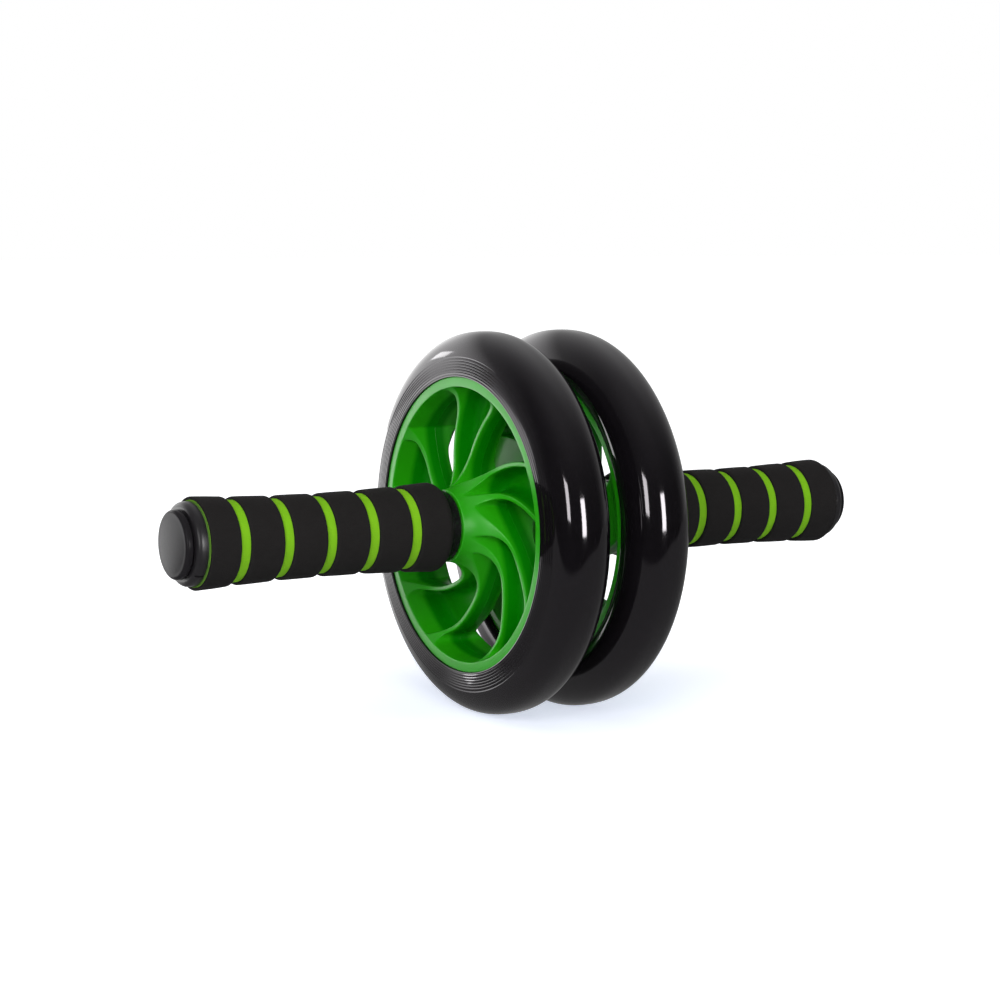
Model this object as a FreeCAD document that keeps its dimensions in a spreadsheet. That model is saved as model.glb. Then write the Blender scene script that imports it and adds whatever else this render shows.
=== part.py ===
import FreeCAD, Part
import math
import os
import re
import Sketcher

# Twin-wheel ab roller: two swirl-spoked wheels turn freely on one steel axle between two foam handles.
# X runs along the axle, Z is up, and the tyres stand on Z = 0. Lengths are in millimetres, angles in degrees.

doc = FreeCAD.newDocument("AbWheelRoller")
sheet = doc.addObject("Spreadsheet::Sheet", "Sizes")

sizes = {
    # Tyres and rims
    "tyre_radius": 90.0,
    "tyre_width": 32.2,
    "tyre_depth": 21.0,
    "tyre_wall_height": 5.0,
    "tread_land_width": 6.0,
    "wheel_spacing": 42.1,
    "rim_width": 29.7,
    "inner_side_inset": 2.0,
    "rim_ring_width": 4.5,
    "seat_groove_width": 10.0,
    "seat_groove_depth": 2.0,
    # Spoke web and hub
    "web_depth": 12.7,
    "web_rim_step": 0.35,
    "rim_flare": 15.2,
    "hub_flare": 18.0,
    "hub_radius": 16.8,
    "hub_reach": 44.4,
    "hub_inner_end": 3.0,
    "blade_thickness": 2.8,
    "blade_arc_radius": 60.5,
    "blade_center_distance": 49.6,
    "blade_center_angle": 108.3,
    "blade_pair_angle": 29.5,
    "right_wheel_turn": 4.0,
    "spoke_floor_thickness": 2.0,
    "pocket_rim_ledge": 0.4,
    "pocket_blunt_round": 1.5,
    "pocket_sharp_round": 3.5,
    "recess_end_round": 2.6,
    "opening_end_round": 4.6,
    # Axle, bushes and washers
    "axle_radius": 8.0,
    "axle_wall": 2.0,
    "bush_wall": 2.2,
    "bush_length": 14.0,
    "bush_flange_radius": 13.0,
    "bush_flange_thickness": 1.5,
    "washer_radius": 14.0,
    "washer_thickness": 0.8,
    "insert_length": 22.0,
    # Handles and grips
    "collar_length": 5.6,
    "tube_radius": 12.5,
    "ring_length": 16.88,
    "last_ring_length": 15.0,
    "groove_width": 4.7,
    "grip_waist_radius": 18.9,
    "grip_end_radius": 20.8,
    "skin_thickness": 1.5,
    "ring_edge_round": 1.1,
    "core_reveal": 0.5,
    # Handle ends
    "end_collar_radius": 18.8,
    "end_collar_length": 5.2,
    "end_collar_round": 2.4,
    "cap_neck_radius": 13.0,
    "cap_neck_length": 0.6,
    "cap_radius": 15.5,
    "cap_thickness": 3.8,
    "cap_edge_round": 1.4,
    "cap_face_wall": 1.5,
    "spigot_radius": 10.0,
    "spigot_wall": 2.0,
    "spigot_length": 3.0,
    "screw_radius": 3.0,
    "screw_length": 16.0,
    "screw_head_radius": 5.2,
    "screw_head_height": 3.0,
    "screw_socket_radius": 2.0,
    "screw_socket_depth": 1.8,
    "screw_washer_radius": 6.5,
    "screw_washer_thickness": 1.2,
    # Clearances
    "running_gap": 0.08,
    "fit_gap": 0.15,
    "side_play": 0.1,
}
ring_count = 6
blade_pairs = 5
full_turn = 360
quarter_turn = 90
sides = {"left": -1, "right": 1}

for row, (alias, number) in enumerate(sizes.items(), start=1):
    sheet.set("A%d" % row, alias)
    sheet.set("B%d" % row, str(number))
    sheet.setAlias("B%d" % row, alias)
doc.recompute()


def formula(text):
    """Write each size's name in a formula as a reference to its cell."""
    return re.sub(r"[a-z]\w*", lambda word: "Sizes." + word[0] if word[0] in sizes else word[0], text)


def value(text):
    """Number that a formula gives with the sizes as they are."""
    return float(sheet.evalExpression(formula(text)))


# Places and radii that several pieces share
wheel_plane = "(wheel_spacing / 2)"
rim_radius = "(tyre_radius - tyre_depth)"
bead_radius = f"({rim_radius} + fit_gap)"
shoulder_radius = f"({bead_radius} + tyre_wall_height)"
rim_inner_radius = f"({rim_radius} - rim_ring_width)"
pocket_radius = f"({rim_inner_radius} - pocket_rim_ledge)"
bush_bore = "(axle_radius + running_gap)"
bush_radius = f"({bush_bore} + bush_wall)"
collar_start = "(hub_reach + side_play + washer_thickness)"
grip_start = f"({collar_start} + collar_length)"
ring_pitch = "(ring_length + groove_width)"
grip_end = f"({grip_start} + {ring_count - 1} * {ring_pitch} + last_ring_length)"
handle_end = f"({grip_end} + core_reveal)"
collar_face = f"({handle_end} + end_collar_length)"
cap_back = f"({collar_face} + cap_neck_length)"
cap_face = f"({cap_back} + cap_thickness)"
spigot_end = f"({collar_face} - spigot_length)"
recess_floor = f"({spigot_end} - fit_gap)"
screw_seat = f"({recess_floor} + screw_washer_thickness)"
sleeve_bore = "(axle_radius + fit_gap)"
insert_radius = "(axle_radius - axle_wall - fit_gap)"
screw_hole = "(screw_radius + fit_gap)"


def attach(sketch, body, role):
    """Lay a sketch on one of its own body's origin planes."""
    plane = next(item for item in body.Origin.OriginFeatures if item.Role == role)
    sketch.AttachmentSupport = [(plane, "")]
    sketch.MapMode = "FlatFace"


def bind(sketch, constraint, text):
    """Add a constraint whose number is a formula of the sizes."""
    index = sketch.addConstraint(constraint)
    sketch.setExpression("Constraints[%d]" % index, formula(text))


def arc_between(start, end, radius, turn):
    """Arc shorter than a half circle, turning left (1) or right (-1) on its way from start to end."""
    chord = end - start
    side = FreeCAD.Vector(-chord.y, chord.x, 0).normalize()
    height = math.sqrt(max(radius ** 2 - (chord.Length / 2) ** 2, 0.0))
    center = start + chord * 0.5 + side * (turn * height)
    first, last = (start, end) if turn > 0 else (end, start)
    angles = [math.atan2(point.y - center.y, point.x - center.x) for point in (first, last)]
    return Part.ArcOfCircle(Part.Circle(center, FreeCAD.Vector(0, 0, 1), radius), *angles)


def draw_outline(sketch, outline):
    """Closed outline: each corner is (x, y), or (x, y, radius, turn) where an arc leads to the next."""
    points = [FreeCAD.Vector(value(corner[0]), value(corner[1]), 0) for corner in outline]
    ends = []
    for index, corner in enumerate(outline):
        start = points[index]
        end = points[(index + 1) % len(points)]
        if len(corner) == 2:
            edge = sketch.addGeometry(Part.LineSegment(start, end))
            ends.append((edge, 1, 2))
        else:
            edge = sketch.addGeometry(arc_between(start, end, value(corner[2]), corner[3]))
            ends.append((edge, 1, 2) if corner[3] > 0 else (edge, 2, 1))
    for index, (edge, _, end) in enumerate(ends):
        following, following_start, _ = ends[(index + 1) % len(ends)]
        sketch.addConstraint(Sketcher.Constraint("Coincident", edge, end, following, following_start))
    for (edge, start, _), corner, point in zip(ends, outline, points):
        bind(sketch, Sketcher.Constraint("DistanceX", edge, start, point.x), corner[0])
        if corner[1] == "0":
            sketch.addConstraint(Sketcher.Constraint("PointOnObject", edge, start, -1))
        else:
            bind(sketch, Sketcher.Constraint("DistanceY", edge, start, point.y), corner[1])
        if len(corner) > 2:
            bind(sketch, Sketcher.Constraint("Radius", edge, value(corner[2])), corner[2])


def turned(label, side, outline):
    """Piece turned about the axle from half its section; the left side is the right one turned round."""
    body = doc.addObject("PartDesign::Body", label)
    body.Label = label
    sketch = body.newObject("Sketcher::SketchObject", label + "_section")
    attach(sketch, body, "XY_Plane")
    draw_outline(sketch, outline)
    turn = body.newObject("PartDesign::Revolution", label + "_turned")
    turn.Profile = sketch
    turn.ReferenceAxis = (sketch, ["H_Axis"])
    turn.Angle = full_turn
    yaw = 0 if side > 0 else full_turn / 2
    body.Placement.Rotation = FreeCAD.Rotation(FreeCAD.Vector(0, 0, 1), yaw)
    body.setExpression("Placement.Base.z", formula("tyre_radius"))
    return body


def ring(label, side, start, end, inner, outer):
    """Plain ring about the axle."""
    return turned(label, side, [(start, inner), (start, outer), (end, outer), (end, inner)])


def crossing(center_a, radius_a, center_b, radius_b, near):
    """Point where two circles cross, the one nearer to a given place."""
    gap = center_b - center_a
    along = (gap.Length ** 2 + radius_a ** 2 - radius_b ** 2) / (2 * gap.Length)
    height = math.sqrt(radius_a ** 2 - along ** 2)
    unit = FreeCAD.Vector(gap).normalize()
    across = FreeCAD.Vector(-unit.y, unit.x, 0)
    choices = [center_a + unit * along + across * (sign * height) for sign in (1, -1)]
    return min(choices, key=lambda point: point.distanceToPoint(near))


def polar(radius, degrees):
    """Point in a wheel's plane."""
    angle = math.radians(degrees)
    return FreeCAD.Vector(radius * math.cos(angle), radius * math.sin(angle), 0)


def cut_pocket(body, label, blade_turn, next_turn, end_round, floor=None):
    """Space between two blades: their facing sides, the rim, a round end at the hub and two corners.

    It goes right through, or from the outer face down to a floor."""
    sketch = body.newObject("Sketcher::SketchObject", label + "_outline")
    attach(sketch, body, "YZ_Plane")
    if floor:
        sketch.setExpression("AttachmentOffset.Base.z", formula(floor))
    inside_radius = "(blade_arc_radius - blade_thickness / 2)"
    outside_radius = "(blade_arc_radius + blade_thickness / 2)"
    angle = "(blade_center_angle - %s)"
    angle_a = value(angle % blade_turn)
    angle_b = value(angle % next_turn)
    axle = FreeCAD.Vector()
    center_a = polar(value("blade_center_distance"), angle_a)
    center_b = polar(value("blade_center_distance"), angle_b)
    radius_a = value(inside_radius)
    radius_b = value(outside_radius)
    radius_rim = value(pocket_radius)
    blunt = value("pocket_blunt_round")
    sharp = value("pocket_sharp_round")
    small = value(end_round)

    # Centres of the three rounds, each touching two of the large arcs
    rim_a = crossing(center_a, radius_a, axle, radius_rim, polar(radius_rim, angle_a + quarter_turn))
    rim_b = crossing(center_b, radius_b, axle, radius_rim, polar(radius_rim, angle_b + quarter_turn))
    hub_side = polar(value("hub_radius"), angle_b + quarter_turn)
    blunt_center = crossing(center_a, radius_a - blunt, axle, radius_rim - blunt, rim_a)
    sharp_center = crossing(center_b, radius_b + sharp, axle, radius_rim - sharp, rim_b)
    end_center = crossing(center_a, radius_a - small, center_b, radius_b + small, hub_side)
    circles = [
        (center_a, radius_a), (blunt_center, blunt), (axle, radius_rim),
        (sharp_center, sharp), (center_b, radius_b), (end_center, small),
    ]
    touches = []
    for index, circle in enumerate(circles):
        following = circles[(index + 1) % len(circles)]
        # Large arcs and rounds take turns in the list
        (big, big_radius), (little, _) = (circle, following) if index % 2 == 0 else (following, circle)
        touches.append(big + (little - big).normalize() * big_radius)
    ends = []
    for index, (center, radius) in enumerate(circles):
        start = touches[index - 1] - center
        end = touches[index] - center
        turn = 1 if start.x * end.y - start.y * end.x > 0 else -1
        edge = sketch.addGeometry(arc_between(touches[index - 1], touches[index], radius, turn))
        ends.append((edge, 1, 2) if turn > 0 else (edge, 2, 1))
    for index, (edge, _, end) in enumerate(ends):
        following, following_start, _ = ends[(index + 1) % len(ends)]
        sketch.addConstraint(Sketcher.Constraint("Tangent", edge, end, following, following_start))
    radii = [
        inside_radius, "pocket_blunt_round", pocket_radius,
        "pocket_sharp_round", outside_radius, end_round,
    ]
    for (edge, _, _), (_, radius), text in zip(ends, circles, radii):
        bind(sketch, Sketcher.Constraint("Radius", edge, radius), text)
    sketch.addConstraint(Sketcher.Constraint("Coincident", ends[2][0], 3, -1, 1))
    for place, center, turn in ((0, center_a, blade_turn), (4, center_b, next_turn)):
        edge = ends[place][0]
        bind(sketch, Sketcher.Constraint("DistanceX", edge, 3, center.x),
             f"blade_center_distance * cos({angle % turn})")
        bind(sketch, Sketcher.Constraint("DistanceY", edge, 3, center.y),
             f"blade_center_distance * sin({angle % turn})")
    pocket = body.newObject("PartDesign::Pocket", label)
    pocket.Profile = sketch
    pocket.Type = "ThroughAll"
    if floor:
        pocket.Reversed = True
    else:
        pocket.SideType = "Symmetric"
    return pocket


def wheel_rim(label, side):
    """Rim, dished spoke web and flared hub in one moulding: five channel spokes with openings between."""
    web_front = f"({wheel_plane} + web_depth / 2)"
    web_back = f"({wheel_plane} - web_depth / 2)"
    rim_front = f"({wheel_plane} + rim_width / 2)"
    rim_back = f"({wheel_plane} - rim_width / 2 + inner_side_inset)"
    groove_front = f"({wheel_plane} + seat_groove_width / 2)"
    groove_back = f"({wheel_plane} - seat_groove_width / 2)"
    groove_floor = f"({rim_radius} - seat_groove_depth)"
    recess_radius = "(bush_flange_radius + fit_gap)"
    bore = f"({bush_radius} + fit_gap)"
    flare_foot = f"(hub_radius + sqrt(hub_flare ^ 2 - ({web_front} + hub_flare - hub_reach) ^ 2))"
    inner_hub = f"({flare_foot} - sqrt(hub_flare ^ 2 - (hub_inner_end - {web_back} + hub_flare) ^ 2))"
    rim_lip_front = f"({rim_front} - web_rim_step)"
    rim_lip_back = f"({rim_back} + web_rim_step)"
    rise_front = f"({rim_lip_front} - {web_front})"
    rise_back = f"({web_back} - {rim_lip_back})"
    dish_edge = f"({rim_inner_radius} - sqrt(rim_flare ^ 2 - (rim_flare - %s) ^ 2))"
    body = turned(label, side, [
        ("hub_inner_end", recess_radius),
        ("hub_inner_end", inner_hub, "hub_flare", 1),
        (web_back, flare_foot),
        (web_back, dish_edge % rise_back, "rim_flare", 1),
        (rim_lip_back, rim_inner_radius),
        (rim_back, rim_inner_radius),
        (rim_back, rim_radius),
        (groove_back, rim_radius),
        (groove_back, groove_floor),
        (groove_front, groove_floor),
        (groove_front, rim_radius),
        (rim_front, rim_radius),
        (rim_front, rim_inner_radius),
        (rim_lip_front, rim_inner_radius, "rim_flare", 1),
        (web_front, dish_edge % rise_front),
        (web_front, flare_foot, "hub_flare", 1),
        ("hub_reach", "hub_radius"),
        ("hub_reach", recess_radius),
        ("hub_reach - bush_flange_thickness", recess_radius),
        ("hub_reach - bush_flange_thickness", bore),
        ("hub_inner_end + bush_flange_thickness", bore),
        ("hub_inner_end + bush_flange_thickness", recess_radius),
    ])
    next_pair = f"({full_turn} / {blade_pairs})"
    spoke_floor = f"({web_back} + spoke_floor_thickness)"
    recess = cut_pocket(body, label + "_recess", "0", "blade_pair_angle", "recess_end_round", spoke_floor)
    opening = cut_pocket(body, label + "_opening", "blade_pair_angle", next_pair, "opening_end_round")
    pattern = body.newObject("PartDesign::PolarPattern", label + "_pockets")
    pattern.Originals = [recess, opening]
    pattern.Axis = (next(item for item in body.Origin.OriginFeatures if item.Role == "X_Axis"), [""])
    pattern.Angle = full_turn
    pattern.Occurrences = blade_pairs
    body.Tip = pattern
    if side > 0:
        # At rest the two wheels stand turned a little against each other
        body.Placement.Rotation = FreeCAD.Rotation(FreeCAD.Vector(1, 0, 0), value("right_wheel_turn"))
        body.setExpression("Placement.Rotation.Angle", formula("right_wheel_turn"))
    return body


def tyre(label, side):
    """Solid tyre: a bead set in on the inner side, a round crown with a flat land, and a rib in the rim."""
    front = f"({wheel_plane} + tyre_width / 2)"
    back = f"({wheel_plane} - tyre_width / 2)"
    rib_front = f"({wheel_plane} + seat_groove_width / 2 - fit_gap)"
    rib_back = f"({wheel_plane} - seat_groove_width / 2 + fit_gap)"
    rib_floor = f"({bead_radius} - seat_groove_depth)"
    half_land = "(tread_land_width / 2)"
    land_corner = f"(tyre_radius ^ 2 + {half_land} ^ 2)"
    shoulder_corner = f"({shoulder_radius} ^ 2 + tyre_width ^ 2 / 4)"
    crown_center = f"(({land_corner} - {shoulder_corner}) / (2 * (tyre_radius - {shoulder_radius})))"
    crown_arc = f"sqrt({half_land} ^ 2 + (tyre_radius - {crown_center}) ^ 2)"
    return turned(label, side, [
        (f"({back} + inner_side_inset)", bead_radius),
        (back, shoulder_radius, crown_arc, -1),
        (f"({wheel_plane} - {half_land})", "tyre_radius"),
        (f"({wheel_plane} + {half_land})", "tyre_radius", crown_arc, -1),
        (front, shoulder_radius),
        (front, bead_radius),
        (rib_front, bead_radius),
        (rib_front, rib_floor),
        (rib_back, rib_floor),
        (rib_back, bead_radius),
    ])


def bush(label, side, flange_face, direction):
    """Flanged plain bush, its flange let into one end of the hub."""
    flange_end = f"({flange_face} + {direction} * bush_flange_thickness)"
    far_end = f"({flange_face} + {direction} * bush_length)"
    return turned(label, side, [
        (flange_face, bush_bore),
        (flange_face, "bush_flange_radius"),
        (flange_end, "bush_flange_radius"),
        (flange_end, bush_radius),
        (far_end, bush_radius),
        (far_end, bush_bore),
    ])


def handle_tube(label, side):
    """Plastic sleeve over the axle with a thick collar at its wheel end."""
    return turned(label, side, [
        (collar_start, sleeve_bore),
        (collar_start, "hub_radius"),
        (grip_start, "hub_radius"),
        (grip_start, "tube_radius"),
        (handle_end, "tube_radius"),
        (handle_end, sleeve_bore),
    ])


def grip_radius(place):
    """Hourglass of the grip: the waist is half way along and the ends are thicker."""
    middle = f"(({grip_start} + {grip_end}) / 2)"
    half = f"(({grip_end} - {grip_start}) / 2)"
    swell = "(grip_end_radius - grip_waist_radius)"
    return f"(grip_waist_radius + {swell} * (({place} - {middle}) / {half}) ^ 2)"


def grip_core(label, side):
    """Green foam sleeve under the black rings, drawn in to the same waist."""
    inner = "(tube_radius + fit_gap)"
    middle = f"(({grip_start} + {grip_end}) / 2)"
    half = f"(({grip_end} - {grip_start}) / 2)"
    sag = "(grip_end_radius - grip_waist_radius)"
    waist_arc = f"(({half} ^ 2 + {sag} ^ 2) / (2 * {sag}))"
    return turned(label, side, [
        (grip_start, inner),
        (grip_start, "grip_end_radius - skin_thickness", waist_arc, 1),
        (middle, "grip_waist_radius - skin_thickness", waist_arc, 1),
        (grip_end, "grip_end_radius - skin_thickness"),
        (handle_end, "grip_end_radius - skin_thickness"),
        (handle_end, inner),
    ])


def grip_ring(label, side, number):
    """Black foam ring with rounded edges, one of those between the green grooves."""
    start = f"({grip_start} + {number} * {ring_pitch})"
    end = f"({start} + ring_length)" if number < ring_count - 1 else grip_end
    start_radius = grip_radius(start)
    end_radius = grip_radius(end)
    lift = "(skin_thickness - fit_gap)"
    return turned(label, side, [
        (start, f"{start_radius} - {lift}"),
        (start, f"{start_radius} - ring_edge_round", "ring_edge_round", -1),
        (f"{start} + ring_edge_round", start_radius),
        (f"{end} - ring_edge_round", end_radius, "ring_edge_round", -1),
        (end, f"{end_radius} - ring_edge_round"),
        (end, f"{end_radius} - {lift}"),
    ])


def end_collar(label, side):
    """Plastic ring that closes the grip, with a hole for the screw and a recess for the cap's spigot."""
    recess = "(spigot_radius + fit_gap)"
    return turned(label, side, [
        (handle_end, screw_hole),
        (handle_end, "end_collar_radius"),
        (f"{collar_face} - end_collar_round", "end_collar_radius", "end_collar_round", -1),
        (collar_face, "end_collar_radius - end_collar_round"),
        (collar_face, recess),
        (recess_floor, recess),
        (recess_floor, screw_hole),
    ])


def end_cap(label, side):
    """Snap-in cap: a flat round head over a short neck, with a hollow spigot round the screw's head."""
    cavity = "(spigot_radius - spigot_wall)"
    cavity_floor = f"({cap_face} - cap_face_wall)"
    return turned(label, side, [
        (spigot_end, cavity),
        (spigot_end, "spigot_radius"),
        (collar_face, "spigot_radius"),
        (collar_face, "cap_neck_radius"),
        (cap_back, "cap_neck_radius"),
        (cap_back, "cap_radius"),
        (f"{cap_face} - cap_edge_round", "cap_radius", "cap_edge_round", -1),
        (cap_face, "cap_radius - cap_edge_round"),
        (cap_face, "0"),
        (cavity_floor, "0"),
        (cavity_floor, cavity),
    ])


def end_screw(label, side):
    """Socket screw that pulls the end collar onto the axle."""
    head_top = f"({screw_seat} + screw_head_height)"
    socket_floor = f"({head_top} - screw_socket_depth)"
    tip = f"({screw_seat} - screw_length)"
    return turned(label, side, [
        (tip, "0"),
        (tip, "screw_radius"),
        (screw_seat, "screw_radius"),
        (screw_seat, "screw_head_radius"),
        (head_top, "screw_head_radius"),
        (head_top, "screw_socket_radius"),
        (socket_floor, "screw_socket_radius"),
        (socket_floor, "0"),
    ])


# Axle and the spacer that keeps the wheels apart
axle_bore = "(axle_radius - axle_wall)"
spacer_end = "(hub_inner_end - side_play)"
parts = [
    ring("axle_tube", 1, f"-{handle_end}", handle_end, axle_bore, "axle_radius"),
    ring("center_spacer", 1, f"-{spacer_end}", spacer_end, sleeve_bore, "washer_radius"),
]
washer_face = "(hub_reach + side_play)"
insert_start = f"({handle_end} - insert_length)"

for name, side in sides.items():
    parts += [
        wheel_rim(name + "_wheel_rim", side),
        tyre(name + "_tyre", side),
        bush(name + "_inner_bush", side, "hub_inner_end", 1),
        bush(name + "_outer_bush", side, "hub_reach", -1),
        ring(name + "_thrust_washer", side, washer_face, collar_start, sleeve_bore, "washer_radius"),
        handle_tube(name + "_handle_tube", side),
        grip_core(name + "_grip_core", side),
        ring(name + "_axle_insert", side, insert_start, handle_end, screw_hole, insert_radius),
        end_collar(name + "_end_collar", side),
        ring(name + "_screw_washer", side, recess_floor, screw_seat, screw_hole, "screw_washer_radius"),
        end_screw(name + "_end_screw", side),
        end_cap(name + "_end_cap", side),
    ]
    for number in range(ring_count):
        parts.append(grip_ring(f"{name}_grip_ring_{number + 1}", side, number))

doc.recompute()

for item in doc.Objects:
    if "Invalid" in item.State or "Error" in item.State:
        raise RuntimeError("not made: " + item.Label)
for part in parts:
    if part.Shape.isNull() or not part.Shape.isValid():
        raise RuntimeError("not a valid solid: " + part.Label)

os.makedirs("parts", exist_ok=True)
for part in parts:
    part.Shape.exportStep("parts/" + part.Label + ".step")
    print(part.Label, "%.1f cm3" % (part.Shape.Volume / 1000))
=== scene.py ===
from math import acos, asin, atan2, cos, degrees, pi, radians, sin, sqrt, tan
import bpy
import numpy as np
from mathutils import Matrix, Vector
from mathutils.geometry import delaunay_2d_cdt


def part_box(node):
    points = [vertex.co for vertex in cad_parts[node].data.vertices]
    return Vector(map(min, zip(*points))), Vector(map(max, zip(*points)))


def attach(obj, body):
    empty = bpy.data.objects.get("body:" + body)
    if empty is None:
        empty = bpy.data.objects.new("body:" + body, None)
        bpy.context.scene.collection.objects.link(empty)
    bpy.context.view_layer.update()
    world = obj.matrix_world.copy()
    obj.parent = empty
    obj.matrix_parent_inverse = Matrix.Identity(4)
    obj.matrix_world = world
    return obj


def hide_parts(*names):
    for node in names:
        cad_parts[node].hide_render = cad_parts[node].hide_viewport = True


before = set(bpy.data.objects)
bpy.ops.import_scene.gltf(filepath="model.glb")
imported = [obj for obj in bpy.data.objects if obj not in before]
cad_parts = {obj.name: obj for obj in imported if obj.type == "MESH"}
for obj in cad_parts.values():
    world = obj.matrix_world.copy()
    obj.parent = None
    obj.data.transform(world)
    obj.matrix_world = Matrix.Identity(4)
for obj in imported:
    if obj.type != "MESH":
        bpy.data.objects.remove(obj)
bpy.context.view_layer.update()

# Twin-wheel ab roller: the axle runs along X and the tyres stand on Z = 0. The right half is modelled,
# and its copy turned half round the Z axis is the left half.
mm = 0.001
handles = "axle_and_handles"
axleLow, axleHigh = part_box("axle_tube")
axleZ = (axleLow.z + axleHigh.z) / 2
tyreLow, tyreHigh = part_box("right_tyre")
wheelX = (tyreLow.x + tyreHigh.x) / 2
tyreHalf = (tyreHigh.x - tyreLow.x) / 2
tyreRadius = (tyreHigh.z - tyreLow.z) / 2
rimLow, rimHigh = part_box("right_wheel_rim")
rimRadius = 69 * mm
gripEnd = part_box("right_grip_ring_6")[1].x
print("frame loaded:", len(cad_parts), "nodes")


# Modelling helpers

def deselectAll():
    bpy.ops.object.select_all(action="DESELECT")


def makeActive(piece):
    deselectAll()
    piece.select_set(True)
    bpy.context.view_layer.objects.active = piece


def softOutline(corners, steps=5):
    # corners of a closed section as (x, radius, rounding); a rounding of 0 stays sharp
    points = []
    for index, (x, radius, rounding) in enumerate(corners):
        here = Vector((x, radius))
        if rounding == 0:
            points.append(here)
            continue
        before = (Vector(corners[index - 1][:2]) - here).normalized()
        after = (Vector(corners[(index + 1) % len(corners)][:2]) - here).normalized()
        half = before.angle(after) / 2
        center = here + (before + after).normalized() * (rounding / sin(half))
        start = here + before * (rounding / tan(half)) - center
        end = here + after * (rounding / tan(half)) - center
        turn = atan2(start.cross(end), start.dot(end))
        for step in range(steps + 1):
            points.append(center + Matrix.Rotation(turn * step / steps, 2) @ start)
    return points


def spinPiece(name, outline, steps, closed=True):
    # a point is extruded along the section, then the section is spun about the axle
    deselectAll()
    bpy.ops.mesh.primitive_plane_add(size=mm)
    piece = bpy.context.object
    piece.name = name
    piece.data.name = name
    places = [Vector((x, 0, axleZ + radius)) for x, radius in outline]
    if closed:
        places.append(places[0])
    bpy.ops.object.mode_set(mode="EDIT")
    bpy.ops.mesh.select_all(action="SELECT")
    bpy.ops.mesh.merge(type="CENTER")
    bpy.ops.transform.translate(value=places[0])
    for here, there in zip(places, places[1:]):
        bpy.ops.mesh.extrude_vertices_move(TRANSFORM_OT_translate={"value": there - here})
    bpy.ops.mesh.select_all(action="SELECT")
    bpy.ops.mesh.spin(steps=steps, angle=2 * pi, center=(0, 0, axleZ), axis=(1, 0, 0))
    closeMesh()
    bpy.ops.object.mode_set(mode="OBJECT")
    return piece


def closeMesh():
    # in edit mode: seams and poles merged, faces turned outwards
    bpy.ops.mesh.select_all(action="SELECT")
    bpy.ops.mesh.remove_doubles(threshold=0.002 * mm)
    bpy.ops.mesh.normals_make_consistent(inside=False)


def smoothShade(piece, angle=35):
    makeActive(piece)
    bpy.ops.object.shade_smooth_by_angle(angle=radians(angle))


def leftCopy(piece, name):
    makeActive(piece)
    bpy.ops.object.duplicate()
    copy = bpy.context.object
    copy.name = name
    copy.data.name = name
    bpy.ops.transform.rotate(value=pi, orient_axis="Z", center_override=(0, 0, 0))
    bpy.ops.object.transform_apply(location=True, rotation=True, scale=True)
    return copy


def turnAboutAxle(piece, angle):
    # a turn as the axle's direction +X counts it
    makeActive(piece)
    bpy.ops.transform.rotate(value=-radians(angle), orient_axis="X", center_override=(0, 0, axleZ))
    bpy.ops.object.transform_apply(location=True, rotation=True, scale=True)


def fitPiece(piece, body, slot, finish, *nodes):
    piece.data.materials.clear()
    piece.data.materials.append(finish)
    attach(piece, body)
    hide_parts(*nodes)


# Finishes

def newFinish(name, **values):
    finish = bpy.data.materials.new(name)
    finish.use_nodes = True
    shader = finish.node_tree.nodes["Principled BSDF"]
    for socket, value in values.items():
        shader.inputs[socket.replace("_", " ")].default_value = value
    return finish, shader


def addNode(finish, kind, **values):
    node = finish.node_tree.nodes.new(kind)
    for name, value in values.items():
        if name in node.inputs:
            node.inputs[name].default_value = value
        else:
            setattr(node, name, value)
    return node


def objectPlace(finish, scale=(1, 1, 1)):
    coordinates = addNode(finish, "ShaderNodeTexCoord")
    mapping = addNode(finish, "ShaderNodeMapping", Scale=scale)
    finish.node_tree.links.new(coordinates.outputs["Object"], mapping.inputs["Vector"])
    return mapping.outputs["Vector"]


def noise(finish, place, scale, detail=3.0, rough=0.55):
    node = addNode(finish, "ShaderNodeTexNoise", Scale=scale, Detail=detail, Roughness=rough)
    finish.node_tree.links.new(place, node.inputs["Vector"])
    return node.outputs["Fac"]


def mapTo(finish, value, low, high, start=0.3, end=0.7):
    node = addNode(finish, "ShaderNodeMapRange")
    for socket, number in (("From Min", start), ("From Max", end), ("To Min", low), ("To Max", high)):
        node.inputs[socket].default_value = number
    finish.node_tree.links.new(value, node.inputs["Value"])
    return node.outputs["Result"]


def colourBetween(finish, value, first, second):
    node = addNode(finish, "ShaderNodeMix", data_type="RGBA")
    colours = [socket for socket in node.inputs if socket.type == "RGBA"]
    for socket, colour in zip(colours, (first, second)):
        if isinstance(colour, bpy.types.NodeSocket):
            finish.node_tree.links.new(colour, socket)
        else:
            socket.default_value = (*colour, 1)
    finish.node_tree.links.new(value, node.inputs["Factor"])
    return next(socket for socket in node.outputs if socket.type == "RGBA")


def addBump(finish, shader, height, distance, strength=1.0, before=None):
    node = addNode(finish, "ShaderNodeBump", Strength=strength, Distance=distance)
    finish.node_tree.links.new(height, node.inputs["Height"])
    if before is not None:
        finish.node_tree.links.new(before, node.inputs["Normal"])
    finish.node_tree.links.new(node.outputs["Normal"], shader.inputs["Normal"])
    return node.outputs["Normal"]


def connect(finish, value, shader, socket):
    finish.node_tree.links.new(value, shader.inputs[socket])


# the deep and lit greens and the two reflection levels paint shade into the pockets and light onto the faces
plasticLook = {"shadedGreen": (0.001, 0.165, 0.0003), "lit": (0.014, 0.305, 0.001), "roughLow": 0.34,
               "roughHigh": 0.44, "shadedLevel": 0.12, "litLevel": 0.48, "depth": (3.6 * mm, 6.6 * mm),
               "flowScale": 45, "grainScale": 1600, "grainDepth": 0.012 * mm}


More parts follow.
